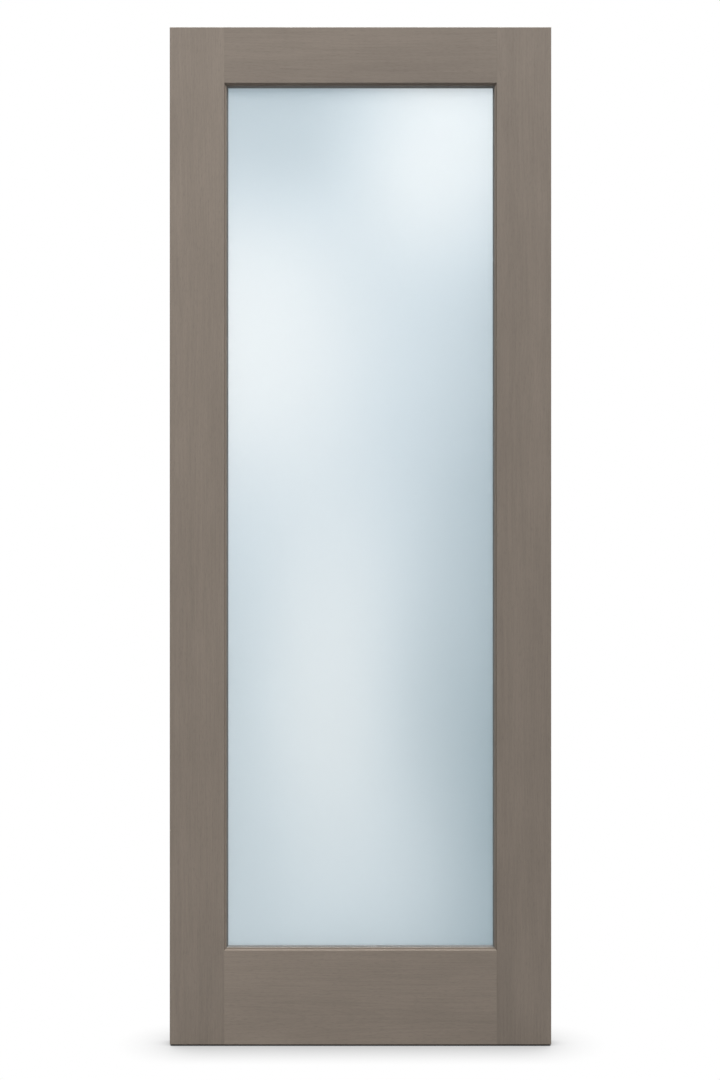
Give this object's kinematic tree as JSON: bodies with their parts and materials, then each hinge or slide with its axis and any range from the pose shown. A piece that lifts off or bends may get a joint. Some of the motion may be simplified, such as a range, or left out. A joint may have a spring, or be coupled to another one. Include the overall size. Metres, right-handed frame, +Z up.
{
  "type": "glazed door leaf",
  "caption": "Full-light timber door leaf: wide stiles, a deep bottom rail and bevelled sticking round one tall sheet of satin glass.",
  "frame": {"origin": "on the left edge at the foot of the leaf, in the middle of the thickness", "axes": "+X to the right edge as seen from the front, +Y from the front face to the back face, +Z up"},
  "size_m": [0.9144, 0.0444, 2.4384],
  "materials": {
    "stile_wood": "taupe grey-brown stain, satin, upright grain",
    "rail_wood": "taupe grey-brown stain, satin, level grain",
    "core_wood": "laminated core, stained on the cut ends",
    "dowel_wood": "bare hardwood",
    "satin_glass": "acid-etched satin, slightly blue",
    "clear_glass": "clear float",
    "gasket": "matte grey",
    "spacer": "grey foam",
    "setting_block": "matte black"
  },
  "bodies": {
    "root": {"left_stile_core": "core_wood", "left_stile_inner_lipping": "stile_wood", "left_stile_outer_lipping": "stile_wood", "left_stile_front_veneer": "stile_wood", "left_stile_back_veneer": "stile_wood", "right_stile_core": "core_wood", "right_stile_inner_lipping": "stile_wood", "right_stile_outer_lipping": "stile_wood", "right_stile_front_veneer": "stile_wood", "right_stile_back_veneer": "stile_wood", "top_rail_core": "core_wood", "top_rail_inner_lipping": "rail_wood", "top_rail_front_veneer": "rail_wood", "top_rail_back_veneer": "rail_wood", "bottom_rail_core": "core_wood", "bottom_rail_inner_lipping": "rail_wood", "bottom_rail_front_veneer": "rail_wood", "bottom_rail_back_veneer": "rail_wood", "top_rail_dowels": "dowel_wood", "bottom_rail_dowels": "dowel_wood", "front_pane": "satin_glass", "back_pane": "clear_glass", "setting_blocks": "setting_block", "spacer_bottom": "spacer", "front_gasket_bottom": "gasket", "back_gasket_bottom": "gasket", "glazing_bead_bottom": "rail_wood", "spacer_right": "spacer", "front_gasket_right": "gasket", "back_gasket_right": "gasket", "glazing_bead_right": "stile_wood", "spacer_top": "spacer", "front_gasket_top": "gasket", "back_gasket_top": "gasket", "glazing_bead_top": "rail_wood", "spacer_left": "spacer", "front_gasket_left": "gasket", "back_gasket_left": "gasket", "glazing_bead_left": "stile_wood"}
  },
  "joints": []
}
